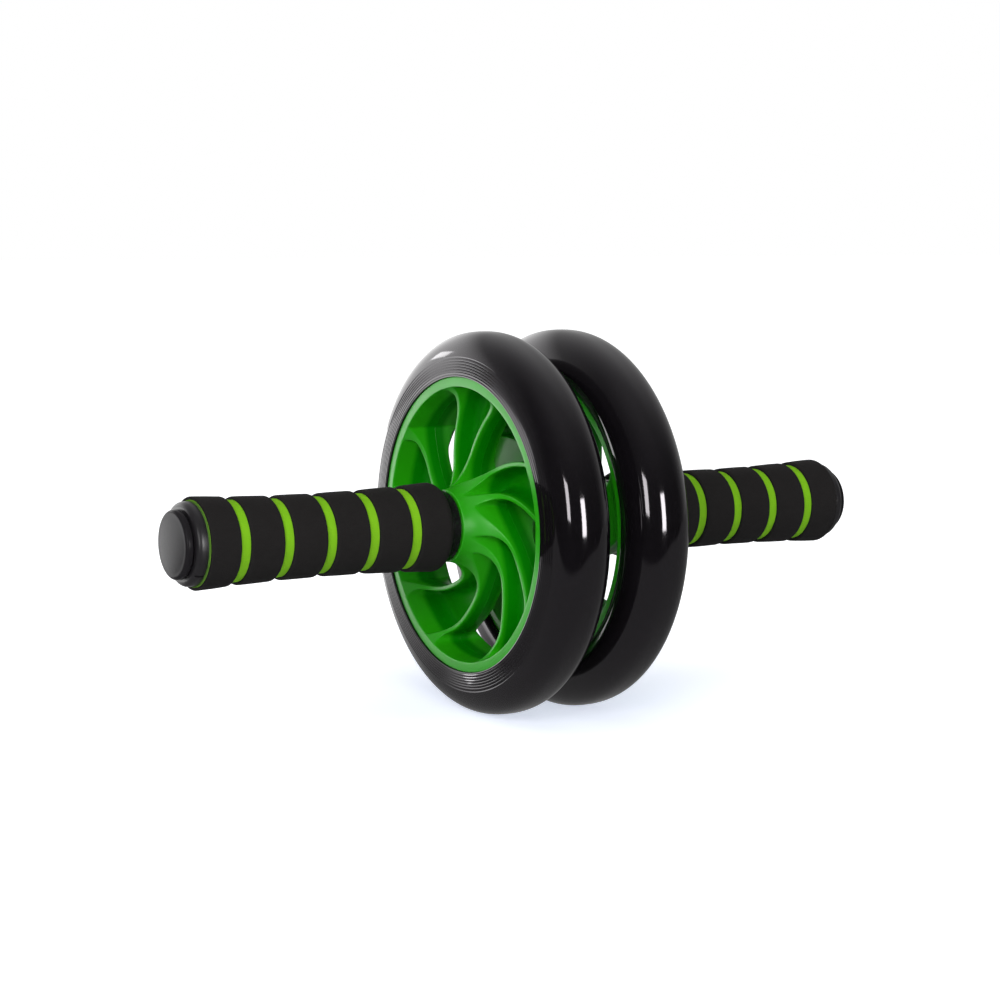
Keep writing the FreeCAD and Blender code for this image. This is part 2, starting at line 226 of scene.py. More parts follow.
def greenPlastic():
    look = plasticLook
    finish, shader = newFinish("greenPlastic")
    links = finish.node_tree.links
    place = objectPlace(finish)
    flow = noise(finish, place, look["flowScale"])
    grain = noise(finish, place, look["grainScale"], 2.0)
    # painted shade and light: the green is darker and duller, with weaker reflection, towards each wheel's
    # middle plane and lighter at the faces
    along = addNode(finish, "ShaderNodeSeparateXYZ")
    links.new(place, along.inputs[0])
    value = along.outputs["X"]
    for operation, number in (("ABSOLUTE", 0), ("SUBTRACT", wheelX), ("ABSOLUTE", 0)):
        node = addNode(finish, "ShaderNodeMath", operation=operation)
        node.inputs[1].default_value = number
        links.new(value, node.inputs[0])
        value = node.outputs[0]
    depth = mapTo(finish, value, 0, 1, *look["depth"])
    connect(finish, colourBetween(finish, depth, look["shadedGreen"], look["lit"]), shader, "Base Color")
    level = mapTo(finish, depth, look["shadedLevel"], look["litLevel"], 0, 1)
    connect(finish, level, shader, "Specular IOR Level")
    connect(finish, mapTo(finish, flow, look["roughLow"], look["roughHigh"]), shader, "Roughness")
    addBump(finish, shader, grain, look["grainDepth"])
    return finish


tyreLook = {"dark": (0.0030, 0.0025, 0.0032), "pale": (0.0044, 0.0037, 0.0047), "roughLow": 0.06,
            "roughHigh": 0.10, "smearScale": 38, "grainScale": 900, "grainDepth": 0.006 * mm}


def blackRubber():
    look = tyreLook
    finish, shader = newFinish("glossyTyre", Specular_IOR_Level=0.5, Specular_Tint=(1, 0.95, 1, 1))
    place = objectPlace(finish)
    smear = noise(finish, place, look["smearScale"], 4.0)
    grain = noise(finish, place, look["grainScale"], 2.0)
    connect(finish, colourBetween(finish, smear, look["dark"], look["pale"]), shader, "Base Color")
    connect(finish, mapTo(finish, smear, look["roughLow"], look["roughHigh"]), shader, "Roughness")
    addBump(finish, shader, grain, look["grainDepth"])
    return finish


foamLook = {"cellScale": 1500, "poreScale": 3600, "cellDepth": 0.10 * mm, "poreDepth": 0.05 * mm,
            "mottleScale": 120, "endShadeZone": (gripEnd - 0.1 * mm, gripEnd + 0.1 * mm)}


def foam(name, dark, pale, ends=None):
    look = foamLook
    finish, shader = newFinish(name, Roughness=0.92, Specular_IOR_Level=0.18)
    links = finish.node_tree.links
    place = objectPlace(finish)
    cells = addNode(finish, "ShaderNodeTexVoronoi", Scale=look["cellScale"], feature="F1")
    links.new(place, cells.inputs["Vector"])
    pores = noise(finish, place, look["poreScale"], 2.0)
    mottle = noise(finish, place, look["mottleScale"], 3.0)
    colour = colourBetween(finish, mottle, dark, pale)
    if ends:
        # painted shade: the foam is darker at its outer ends, where it lies in the crevice beside the end
        # collar
        along = addNode(finish, "ShaderNodeSeparateXYZ")
        links.new(place, along.inputs[0])
        reach = addNode(finish, "ShaderNodeMath", operation="ABSOLUTE")
        links.new(along.outputs["X"], reach.inputs[0])
        inEndShade = mapTo(finish, reach.outputs[0], 0, 1, *look["endShadeZone"])
        colour = colourBetween(finish, inEndShade, colour, ends)
    connect(finish, colour, shader, "Base Color")
    first = addBump(finish, shader, cells.outputs["Distance"], look["cellDepth"])
    addBump(finish, shader, pores, look["poreDepth"], before=first)
    return finish


blackLook = {"base": (0.0060, 0.0054, 0.0062), "worn": (0.0090, 0.0082, 0.0092), "roughLow": 0.16,
             "roughHigh": 0.28, "cloudScale": 90, "grainScale": 1800, "grainDepth": 0.008 * mm}


def blackPlastic(name, look, level):
    finish, shader = newFinish(name, Specular_IOR_Level=level)
    place = objectPlace(finish)
    cloud = noise(finish, place, look["cloudScale"], 4.0)
    grain = noise(finish, place, look["grainScale"], 2.0)
    connect(finish, colourBetween(finish, cloud, look["base"], look["worn"]), shader, "Base Color")
    connect(finish, mapTo(finish, cloud, look["roughLow"], look["roughHigh"]), shader, "Roughness")
    addBump(finish, shader, grain, look["grainDepth"])
    return finish


capLook = {"base": (0.010, 0.0092, 0.0103), "worn": (0.015, 0.0138, 0.0154), "roughLow": 0.17,
           "roughHigh": 0.26, "cloudScale": 70, "grainScale": 2600, "grainDepth": 0.02 * mm}
endLook = {"base": (0.0085, 0.0076, 0.0088), "worn": (0.0125, 0.0112, 0.0130), "roughLow": 0.32,
           "roughHigh": 0.42, "cloudScale": 90, "grainScale": 1800, "grainDepth": 0.01 * mm}
nylonLook = {"base": (0.035, 0.035, 0.036), "worn": (0.055, 0.055, 0.056), "roughLow": 0.45, "roughHigh": 0.6,
             "cloudScale": 120, "grainScale": 2200, "grainDepth": 0.02 * mm}
zincLook = {"dark": (0.47, 0.48, 0.50), "pale": (0.66, 0.67, 0.69), "stretch": (40, 1400, 1400),
            "spangleScale": 260, "roughLow": 0.28, "roughHigh": 0.46, "lineDepth": 0.01 * mm}


def zincSteel():
    look = zincLook
    finish, shader = newFinish("zincSteel", Metallic=1.0)
    place = objectPlace(finish)
    lines = noise(finish, objectPlace(finish, look["stretch"]), 1.0, 2.0)
    spangle = noise(finish, place, look["spangleScale"], 2.0)
    connect(finish, colourBetween(finish, spangle, look["dark"], look["pale"]), shader, "Base Color")
    connect(finish, mapTo(finish, lines, look["roughLow"], look["roughHigh"]), shader, "Roughness")
    addBump(finish, shader, lines, look["lineDepth"])
    return finish


finishes = {
    "rim": greenPlastic(),
    "tyre": blackRubber(),
    "blackFoam": foam("blackFoam", (0.0086, 0.0075, 0.0074), (0.0116, 0.0103, 0.0102)),
    # the third lime colour is painted shade for the foam's ends
    "greenFoam": foam("limeFoam", (0.160, 0.425, 0.006), (0.198, 0.480, 0.009), (0.060, 0.135, 0.020)),
    "collar": blackPlastic("glossBlackPlastic", blackLook, 0.45),
    "end": blackPlastic("satinBlackPlastic", endLook, 0.36),
    "cap": blackPlastic("capPlastic", capLook, 0.04),
    "nylon": blackPlastic("bushNylon", nylonLook, 0.4),
    "zinc": zincSteel(),
}
print("finishes made:", len(finishes))


# Wheel rim: five swept channel spokes with openings between, a flared hub and the ring that holds the tyre
rimShape = {
    "pairs": 5, "pairAngle": 29.5, "bladeAngle": 108.3, "bladeThickness": 2.8 * mm, "bladeArc": 60.5 * mm,
    "arcCenter": 49.6 * mm, "ringWidth": 4.5 * mm, "ledge": 0.4 * mm, "bluntRound": 1.5 * mm,
    "sharpRound": 2.4 * mm, "webDepth": 12.7 * mm, "hubFlare": 18 * mm, "rimFlare": 15.2 * mm,
    "hubRadius": 16.8 * mm, "ringRound": 0.25 * mm, "ringFront": 15.2 * mm, "ringBack": 12.85 * mm,
    "restTurn": 4, "edgeRound": 0.55 * mm, "draft": 0.28 * mm, "ridge": 0.12 * mm, "steps": 180,
    "sheetPitch": 1.2 * mm, "floorDepth": -4.35 * mm, "floorRound": 4.5 * mm, "floorPitch": 0.9 * mm,
    "narrowTip": (17.9 * mm, 203), "wideTip": (18.7 * mm, 177), "tipHandle": 1.7 * mm, "tipStart": 29 * mm,
    "seatGroove": (5 * mm, 2 * mm), "boreRadius": 10.43 * mm, "recessRadius": 13.15 * mm,
    "recessDepth": 1.5 * mm, "sideSteps": 32,
}


def polar(radius, angle):
    return Vector((radius * cos(radians(angle)), radius * sin(radians(angle))))


def bladeSide(theta, arc, turn):
    # point on a blade's arc, by the turn about the arc's own centre
    return polar(rimShape["arcCenter"], theta) + polar(arc, theta + turn)


def turnAt(arc, radius):
    # turn at which that arc passes a radius of the wheel
    reach = rimShape["arcCenter"]
    return degrees(acos((radius ** 2 - reach ** 2 - arc ** 2) / (2 * reach * arc)))


def shortArc(center, start, end, count):
    first = start - center
    turn = atan2(first.cross(end - center), first.dot(end - center))
    return [center + Matrix.Rotation(turn * step / count, 2) @ first for step in range(count)]


def curveTo(start, leave, end, arrive, count):
    points = []
    for step in range(count):
        t = step / count
        points.append(start * (1 - t) ** 3 + (start + leave) * 3 * t * (1 - t) ** 2
                      + (end - arrive) * 3 * t ** 2 * (1 - t) + end * t ** 3)
    return points


def pocketOutline(turn, nextTurn, tip):
    shape = rimShape
    thetaA = shape["bladeAngle"] - turn
    thetaB = shape["bladeAngle"] - nextTurn
    arcA = shape["bladeArc"] - shape["bladeThickness"] / 2
    arcB = shape["bladeArc"] + shape["bladeThickness"] / 2
    rimEdge = rimRadius - shape["ringWidth"] - shape["ledge"]
    blunt = shape["bluntRound"]
    sharp = shape["sharpRound"]
    bluntTurn = turnAt(arcA - blunt, rimEdge - blunt)
    sharpTurn = turnAt(arcB + sharp, rimEdge - sharp)
    innerA = turnAt(arcA, shape["tipStart"])
    innerB = turnAt(arcB, shape["tipStart"])
    bluntCenter = bladeSide(thetaA, arcA - blunt, bluntTurn)
    sharpCenter = bladeSide(thetaB, arcB + sharp, sharpTurn)
    shares = [step / shape["sideSteps"] for step in range(shape["sideSteps"])]
    points = [bladeSide(thetaA, arcA, innerA + (bluntTurn - innerA) * share) for share in shares]
    bluntRim = bluntCenter * (rimEdge / (rimEdge - blunt))
    sharpRim = sharpCenter * (rimEdge / (rimEdge - sharp))
    points += shortArc(bluntCenter, bladeSide(thetaA, arcA, bluntTurn), bluntRim, 6)
    points += shortArc(Vector((0, 0)), bluntRim, sharpRim, 18)
    points += shortArc(sharpCenter, sharpRim, bladeSide(thetaB, arcB, sharpTurn), 9)
    points += [bladeSide(thetaB, arcB, sharpTurn + (innerB - sharpTurn) * share) for share in shares]
    # pointed end on the hub's flare
    startB = bladeSide(thetaB, arcB, innerB)
    startA = bladeSide(thetaA, arcA, innerA)
    apex = polar(*tip)
    alongB = (startB - bladeSide(thetaB, arcB, innerB - 1)).normalized()
    alongA = (bladeSide(thetaA, arcA, innerA - 1) - startA).normalized()
    across = Vector((-apex.y, apex.x)).normalized()
    if across.dot(startA - startB) < 0:
        across = -across
    handle = across * shape["tipHandle"]
    points += curveTo(startB, alongB * (apex - startB).length * 0.5, apex, handle, 12)
    points += curveTo(apex, handle, startA, alongA * (apex - startA).length * 0.5, 12)
    return points


def grownOutline(points, distance):
    # every point moved out of the pocket by that distance
    area = sum(a.cross(b) for a, b in zip(points, points[1:] + points[:1]))
    sign = 1 if area > 0 else -1
    grown = []
    for index, here in enumerate(points):
        along = points[(index + 1) % len(points)] - points[index - 1]
        grown.append(here + Vector((along.y, -along.x)).normalized() * (sign * distance))
    return grown


def insideOutline(places, outline):
    # which places lie inside a closed outline, by counting crossings
    a = np.array([tuple(point) for point in outline])
    b = np.roll(a, -1, axis=0)
    x = places[:, 0:1]
    y = places[:, 1:2]
    spans = (a[:, 1] > y) != (b[:, 1] > y)
    rise = np.where(b[:, 1] == a[:, 1], 1.0, b[:, 1] - a[:, 1])
    crossX = a[:, 0] + (y - a[:, 1]) * (b[:, 0] - a[:, 0]) / rise
    return (spans & (x < crossX)).sum(axis=1) % 2 == 1


def webHeight(radius, cap, ringHalf):
    # distance of the dished surface from the wheel's middle plane
    shape = rimShape
    half = shape["webDepth"] / 2
    foot = shape["hubRadius"] + shape["hubFlare"]
    rise = ringHalf - half
    ringInner = rimRadius - shape["ringWidth"]
    edge = ringInner - sqrt(shape["rimFlare"] ** 2 - (shape["rimFlare"] - rise) ** 2)
    if radius < foot:
        flare = shape["hubFlare"]
        return min(cap, half + flare - sqrt(max(flare ** 2 - (foot - radius) ** 2, 0)))
    if radius > edge:
        flare = shape["rimFlare"]
        return half + flare - sqrt(flare ** 2 - (min(radius, ringInner) - edge) ** 2)
    return half


def webPlace(place, side, depth=0):
    # point of the front or back face over a place in the wheel's plane
    sign, cap, ringHalf = side
    return (wheelX + sign * (webHeight(place.length, cap, ringHalf) - depth), place.x, axleZ + place.y)


def ringPlaces(radius, count):
    return [polar(radius, 360 * step / count) for step in range(count)]


def faceSheet(side, pockets, hubEdge, ringEdge):
    # front or back face of the web, open at those pockets
    shape = rimShape
    faceGrow = shape["edgeRound"] + shape["draft"]
    borders = [grownOutline(outline, faceGrow) for outline in pockets]
    guards = [grownOutline(outline, faceGrow + 0.35 * mm) for outline in pockets]
    loops = borders + [ringPlaces(hubEdge, shape["steps"]), ringPlaces(ringEdge, shape["steps"])]
    places = []
    edges = []
    for loop in loops:
        first = len(places)
        places += loop
        edges += [(first + step, first + (step + 1) % len(loop)) for step in range(len(loop))]
    # loose points between the pockets, close together on the steep part of the flare
    loose = []
    radius = hubEdge
    while radius < ringEdge:
        steep = min(1.0, (radius - hubEdge) / (6 * mm))
        pitch = shape["sheetPitch"] * (0.22 + 0.78 * steep)
        radius += pitch
        if radius < ringEdge - 0.4 * mm:
            count = shape["pairs"] * round(2 * pi * radius / max(pitch, 0.6 * mm) / shape["pairs"])
            loose += ringPlaces(radius, count)
    loose = np.array([tuple(place) for place in loose])
    taken = np.zeros(len(loose), bool)
    for guard in guards:
        taken |= insideOutline(loose, guard)
    places += [Vector(place) for place in loose[~taken]]
    flat, _, faces, _, _, _ = delaunay_2d_cdt(places, edges, [], 1, 0.0001 * mm)
    middles = np.array([tuple((flat[a] + flat[b] + flat[c]) / 3) for a, b, c in faces])
    reach = np.hypot(middles[:, 0], middles[:, 1])
    dropped = reach < hubEdge * cos(pi / shape["steps"])
    for border in borders:
        dropped |= insideOutline(middles, border)
    kept = [tuple(face) for face, drop in zip(faces, dropped) if not drop]
    return [webPlace(place, side) for place in flat], kept


def roundedEdge(outline, side):
    # rows of a pocket's rounded edge, from its wall out to the face
    shape = rimShape
    steps = 3
    rows = []
    for step in range(steps + 1):
        angle = pi / 2 * step / steps
        grow = shape["draft"] + shape["edgeRound"] * (1 - cos(angle))
        depth = shape["edgeRound"] * (1 - sin(angle))
        rows.append([webPlace(place, side, depth) for place in grownOutline(outline, grow)])
    return rows


def levelRow(outline, x):
    return [(wheelX + x, place.x, axleZ + place.y) for place in outline]


def wallFaces(rows):
    size = len(rows[0])
    faces = []
    for level in range(len(rows) - 1):
        for step in range(size):
            a = level * size + step
            b = level * size + (step + 1) % size
            faces.append((a, b, b + size, a + size))
    return [place for row in rows for place in row], faces


def outlineGap(places, outline):
    # distance of each place from a closed outline
    a = np.array([tuple(point) for point in outline])
    along = np.roll(a, -1, axis=0) - a
    apart = places[:, None, :] - a[None]
    share = np.clip((apart * along).sum(axis=2) / (along ** 2).sum(axis=1), 0, 1)
    return np.sqrt(((apart - share[:, :, None] * along) ** 2).sum(axis=2)).min(axis=1)


def recessFloor(outline):
    # floor of a channel spoke, rising in a round to the walls
    shape = rimShape
    pitch = shape["floorPitch"]
    corners = np.array([tuple(point) for point in outline])
    low = corners.min(axis=0)
    counts = ((corners.max(axis=0) - low) / pitch).astype(int) + 2
    grid = np.array([(low[0] + i * pitch, low[1] + j * pitch)
                     for i in range(counts[0]) for j in range(counts[1])])
    grid = grid[insideOutline(grid, outline)]
    grid = grid[outlineGap(grid, outline) > 0.45 * pitch]
    edges = [(step, (step + 1) % len(outline)) for step in range(len(outline))]
    places = list(outline) + [Vector(place) for place in grid]
    flat, _, faces, _, _, _ = delaunay_2d_cdt(places, edges, [], 1, 0.0001 * mm)
    gaps = outlineGap(np.array([tuple(place) for place in flat]), outline)
    bend = shape["floorRound"]
    inset = bend - np.minimum(gaps, bend)
    heights = shape["floorDepth"] + bend - np.sqrt(bend ** 2 - inset ** 2)
    verts = [(wheelX + height, place.x, axleZ + place.y) for place, height in zip(flat, heights)]
    middles = np.array([tuple((flat[a] + flat[b] + flat[c]) / 3) for a, b, c in faces])
    return verts, [tuple(face) for face, inside in zip(faces, insideOutline(middles, outline)) if inside]


def webMesh(hubEdge, ringEdge, frontCap, backCap):
    shape = rimShape
    frontSide = (1, frontCap, shape["ringFront"])
    backSide = (-1, backCap, shape["ringBack"])
    share = 360 / shape["pairs"]
    narrow = pocketOutline(0, shape["pairAngle"], shape["narrowTip"])
    wide = pocketOutline(shape["pairAngle"], share, shape["wideTip"])
    spun = [Matrix.Rotation(radians(share * number), 2) for number in range(shape["pairs"])]
    recesses = [[turn @ point for point in narrow] for turn in spun]
    openings = [[turn @ point for point in wide] for turn in spun]
    sheets = [faceSheet(frontSide, recesses + openings, hubEdge, ringEdge),
              faceSheet(backSide, openings, hubEdge, ringEdge)]
    ridge = shape["ridge"]
    for outline in openings:
        # widest apart at the two faces and drawn in to the parting line
        levels = ((ridge, 0), (0, -ridge), (-ridge, 0))
        parting = [levelRow(grownOutline(outline, grow), x) for x, grow in levels]
        front = roundedEdge(outline, frontSide)[::-1]
        sheets.append(wallFaces(front + parting + roundedEdge(outline, backSide)))
    for outline in recesses:
        foot = levelRow(outline, shape["floorDepth"] + shape["floorRound"])
        sheets.append(wallFaces(roundedEdge(outline, frontSide)[::-1] + [foot]))
        sheets.append(recessFloor(outline))
    verts = []
    faces = []
    for places, corners in sheets:
        faces += [tuple(len(verts) + corner for corner in face) for face in corners]
        verts += places
    mesh = bpy.data.meshes.new("rimWeb")
    mesh.from_pydata(verts, [], faces)
    return mesh


def wheelRim(name):
    shape = rimShape
    hubFront = rimHigh.x - wheelX
    hubBack = wheelX - rimLow.x
    hubEdge = shape["hubRadius"] + 0.3 * mm
    ringEdge = rimRadius - shape["ringWidth"] + 0.75 * mm
    frontEdge = webHeight(hubEdge, hubFront, shape["ringFront"])
    deselectAll()
    web = bpy.data.objects.new(name, webMesh(hubEdge, ringEdge, hubFront, hubBack))
    bpy.context.scene.collection.objects.link(web)
    middle = (frontEdge + hubFront) / 2
    hub = softOutline([
        (frontEdge, hubEdge, 0), (middle, webRadiusAt(middle), 0),
        (hubFront, shape["hubRadius"], 0.5 * mm), (hubFront, shape["recessRadius"], 0.3 * mm),
        (hubFront - shape["recessDepth"], shape["recessRadius"], 0),
        (hubFront - shape["recessDepth"], shape["boreRadius"], 0),
        (shape["recessDepth"] - hubBack, shape["boreRadius"], 0),
        (shape["recessDepth"] - hubBack, shape["recessRadius"], 0),
        (-hubBack, shape["recessRadius"], 0.3 * mm), (-hubBack, hubEdge, 0),
    ])
    grooveHalf, grooveDepth = shape["seatGroove"]
    halves = []
    for face in (shape["ringFront"], shape["ringBack"]):
        halves.append([
            (face, ringEdge, 0), (face, rimRadius, shape["ringRound"]),
            (grooveHalf, rimRadius, 0), (grooveHalf, rimRadius - grooveDepth, 0),
        ])
    ring = softOutline(halves[0] + [(-x, radius, rounding) for x, radius, rounding in halves[1][::-1]])
    parts = [web]
    for label, outline in (("rimHub", hub), ("rimRing", ring)):
        placed = [(wheelX + x, radius) for x, radius in outline]
        parts.append(spinPiece(label, placed, shape["steps"], closed=False))
    deselectAll()
    for part in parts:
        part.select_set(True)
    bpy.context.view_layer.objects.active = web
    bpy.ops.object.join()
    bpy.ops.object.mode_set(mode="EDIT")
    closeMesh()
    bpy.ops.object.mode_set(mode="OBJECT")
    smoothShade(web, 40)
    return web


def webRadiusAt(height):
    # radius of the hub's flare at a height above the middle plane
    flare = rimShape["hubFlare"]
    foot = rimShape["hubRadius"] + flare
    return foot - sqrt(flare ** 2 - (rimShape["webDepth"] / 2 + flare - height) ** 2)


rightRim = wheelRim("rightRim")
leftRim = leftCopy(rightRim, "leftRim")
# at rest the two wheels stand turned a little against each other
turnAboutAxle(rightRim, rimShape["restTurn"])
for rim, side in ((rightRim, "right"), (leftRim, "left")):
    fitPiece(rim, side + "_wheel", "green_plastic", finishes["rim"], side + "_wheel_rim")
print("rims modelled:", len(rightRim.data.polygons), "faces each")


# Tyre: section fuller than an ellipse, fine ribs on the outer sidewall, smooth inner side set in at the bead
tyreShape = {"bead": 69.15 * mm, "beadDrop": 0.4 * mm, "widest": 65.1 * mm, "outerFullness": 2.8,
             "innerFullness": 2.39, "ribs": 6, "firstRib": 69.9 * mm, "ribPitch": 1.3 * mm,
             "ribHeight": 0.3 * mm, "ribSlope": 0.38, "ribCrest": 0.88, "lastGroove": 0.3 * mm,
             "innerWall": 74.15 * mm, "inset": 2.0 * mm, "crownSteps": 30, "steps": 240}


def tyreSide(radius):
    # half width of the tyre's outer side at a radius
    share = (radius - tyreShape["widest"]) / (tyreRadius - tyreShape["widest"])
    return tyreHalf * (1 - share ** tyreShape["outerFullness"]) ** (1 / tyreShape["outerFullness"])


def tyreCrown(start, fullness):
    # outline from a radius on the sidewall to the middle of the tread
    power = 2 / fullness
    reach = tyreRadius - tyreShape["widest"]
    first = asin(((start - tyreShape["widest"]) / reach) ** (1 / power))
    points = []
    for step in range(tyreShape["crownSteps"]):
        angle = first + (pi / 2 - first) * step / tyreShape["crownSteps"]
        radius = tyreShape["widest"] + reach * sin(angle) ** power
        points.append(Vector((tyreHalf * cos(angle) ** power, radius)))
    return points


def tyreOutline():
    shape = tyreShape
    bead = shape["bead"]
    steps = [(bead, shape["beadDrop"]), (bead + 0.12 * mm, 0.15 * mm), (bead + 0.4 * mm, 0),
             (shape["firstRib"] - 0.15 * mm, 0)]
    for number in range(shape["ribs"]):
        start = shape["firstRib"] + number * shape["ribPitch"]
        steps += [(start, shape["ribHeight"]), (start + shape["ribSlope"] * shape["ribPitch"], 0),
                  (start + shape["ribCrest"] * shape["ribPitch"], 0)]
    ribEnd = shape["firstRib"] + shape["ribs"] * shape["ribPitch"]
    grooveEnd = ribEnd + shape["lastGroove"]
    steps += [(ribEnd, shape["ribHeight"]), (grooveEnd, shape["ribHeight"])]
    points = [Vector((tyreSide(radius) - depth, radius)) for radius, depth in steps]
    points += tyreCrown(grooveEnd + shape["ribSlope"] * shape["ribPitch"], shape["outerFullness"])
    points.append(Vector((0, tyreRadius)))
    inner = tyreCrown(shape["innerWall"], shape["innerFullness"])
    points += [Vector((-point.x, point.y)) for point in inner[::-1]]
    insetX = tyreHalf - shape["inset"]
    points.append(Vector((-insetX, bead)))
    return points


tyrePlaces = [(wheelX + point.x, point.y) for point in tyreOutline()]
rightTyre = spinPiece("rightTyre", tyrePlaces, tyreShape["steps"])
smoothShade(rightTyre, 30)
leftTyre = leftCopy(rightTyre, "leftTyre")
for tyre, side in ((rightTyre, "right"), (leftTyre, "left")):
    fitPiece(tyre, side + "_wheel", "tyre", finishes["tyre"], side + "_tyre")
print("tyres modelled:", len(rightTyre.data.polygons), "faces each")


# Grip: six black foam rings on a lime foam sleeve, all drawn in to the same waist
gripShape = {"rings": 6, "waist": 18.9 * mm, "end": 20.8 * mm, "skin": 1.5 * mm, "edgeRound": 1.25 * mm,
             "crown": 0.12 * mm, "surfaceSteps": 8, "steps": 120, "lumpSize": 7 * mm, "lumpHeight": 0.12 * mm,
             "endRim": -0.9 * mm, "wheelEndRound": 3.2 * mm, "wheelEndWrap": 3.7 * mm, "lastEdge": 0.6 * mm,
             "coreSteps": 40}
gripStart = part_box("right_grip_ring_1")[0].x
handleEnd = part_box("right_handle_tube")[1].x
tubeRadius = 12.5 * mm


def gripRadius(x):
    middle = (gripStart + gripEnd) / 2
    half = (gripEnd - gripStart) / 2
    return gripShape["waist"] + (gripShape["end"] - gripShape["waist"]) * ((x - middle) / half) ** 2


lumps = bpy.data.textures.new("foamLumps", "CLOUDS")
lumps.noise_scale = gripShape["lumpSize"]


def softenFoam(piece):
    # slight unevenness of moulded foam
    makeActive(piece)
    change = piece.modifiers.new("lumps", "DISPLACE")
    change.texture = lumps
    change.strength = gripShape["lumpHeight"]
    bpy.ops.object.modifier_apply(modifier="lumps")
    smoothShade(piece, 50)


def gripRing(name, start, end, startRound, endRound):
    # the first ring wraps the core's end; the others lie on the core
    shape = gripShape
    inner = shape["skin"] - 0.1 * mm
    wraps = startRound > inner
    corners = [(start, gripRadius(start) - (shape["wheelEndWrap"] if wraps else inner), 0)]
    for step in range(shape["surfaceSteps"] + 1):
        share = step / shape["surfaceSteps"]
        x = start + (end - start) * share
        rounding = {0: startRound, shape["surfaceSteps"]: endRound}.get(step, 0)
        if wraps and 0 < x - start < startRound + 0.5 * mm:
            continue
        corners.append((x, gripRadius(x) + shape["crown"] * 4 * share * (1 - share), rounding))
    corners.append((end, gripRadius(end) - inner, 0))
    if wraps:
        step = start + shape["wheelEndWrap"]
        corners += [(step, gripRadius(step) - inner, 0), (step, gripRadius(start) - shape["wheelEndWrap"], 0)]
    ring = spinPiece(name, softOutline(corners, 7), shape["steps"])
    softenFoam(ring)
    return ring


def gripCore(name):
    shape = gripShape
    wrapped = gripRadius(gripStart) - shape["wheelEndWrap"] - 0.05 * mm
    coreStart = gripStart + shape["wheelEndWrap"] + 0.05 * mm
    outline = [(gripStart, tubeRadius + 0.1 * mm), (gripStart, wrapped), (coreStart, wrapped)]
    for step in range(shape["coreSteps"] + 1):
        x = coreStart + (gripEnd - coreStart) * step / shape["coreSteps"]
        outline.append((x, gripRadius(x) - shape["skin"]))
    rim = gripRadius(gripEnd) - shape["skin"] + shape["endRim"]
    outline += [(gripEnd + 0.2 * mm, rim), (handleEnd - 0.1 * mm, rim - 0.1 * mm)]
    outline += [(handleEnd, rim - 0.3 * mm), (handleEnd, tubeRadius + 0.1 * mm)]
    core = spinPiece(name, outline, shape["steps"])
    softenFoam(core)
    return core


rightCore = gripCore("rightGripCore")
for core, side in ((rightCore, "right"), (leftCopy(rightCore, "leftGripCore"), "left")):
    fitPiece(core, handles, "green_foam", finishes["greenFoam"], side + "_grip_core")
for number in range(1, gripShape["rings"] + 1):
    low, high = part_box(f"right_grip_ring_{number}")
    startRound = gripShape["wheelEndRound"] if number == 1 else gripShape["edgeRound"]
    endRound = gripShape["lastEdge"] if number == gripShape["rings"] else gripShape["edgeRound"]
    rightRing = gripRing(f"rightGripRing{number}", low.x, high.x, startRound, endRound)
    for ring, side in ((rightRing, "right"), (leftCopy(rightRing, f"leftGripRing{number}"), "left")):
        fitPiece(ring, handles, "black_foam", finishes["blackFoam"], f"{side}_grip_ring_{number}")
print("grips modelled:", gripShape["rings"], "rings on each core")


# Handle sleeve with its glossy collar, end collar and cap
endShape = {"steps": 128, "collarRound": 0.9 * mm, "collarRadius": 16.8 * mm, "sleeveBore": 8.15 * mm,
            "endRadius": 18.8 * mm, "endRound": 2.6 * mm, "endLip": 0.35 * mm, "screwHole": 3.15 * mm,
            "recess": 10.15 * mm, "recessDepth": 3.15 * mm, "capRadius": 15.5 * mm, "neckRadius": 13 * mm,
            "neckLength": 0.6 * mm, "capRound": 1.5 * mm, "dome": 0.5 * mm, "spigot": 10 * mm,
            "cavity": 8 * mm, "faceWall": 1.5 * mm, "faceEdge": 2.2 * mm, "domeSteps": 12, "seamAngle": -42,
            "seamWidth": 0.9 * mm, "seamDepth": 1.0 * mm}


def handleSleeve(name):
    shape = endShape
    low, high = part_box("right_handle_tube")
    bore = shape["sleeveBore"]
    return spinPiece(name, softOutline([
        (low.x, bore, 0), (low.x, shape["collarRadius"], shape["collarRound"]),
        (gripStart, shape["collarRadius"], 0.3 * mm), (gripStart, tubeRadius, 0),
        (high.x, tubeRadius, 0), (high.x, bore, 0),
    ]), shape["steps"])


def endCollar(name):
    shape = endShape
    low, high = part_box("right_end_collar")
    floor = high.x - shape["recessDepth"]
    lip = shape["endRadius"] - shape["endLip"]
    collar = spinPiece(name, softOutline([
        (low.x, shape["screwHole"], 0), (low.x, lip, 0.1 * mm),
        (low.x + 0.7 * mm, lip, 0), (low.x + 0.9 * mm, shape["endRadius"], 0.15 * mm),
        (high.x, shape["endRadius"], shape["endRound"]), (high.x, shape["recess"], 0.2 * mm),
        (floor, shape["recess"], 0), (floor, shape["screwHole"], 0),
    ], 7), shape["steps"])
    cutSeam(collar, low.x, high.x)
    return collar


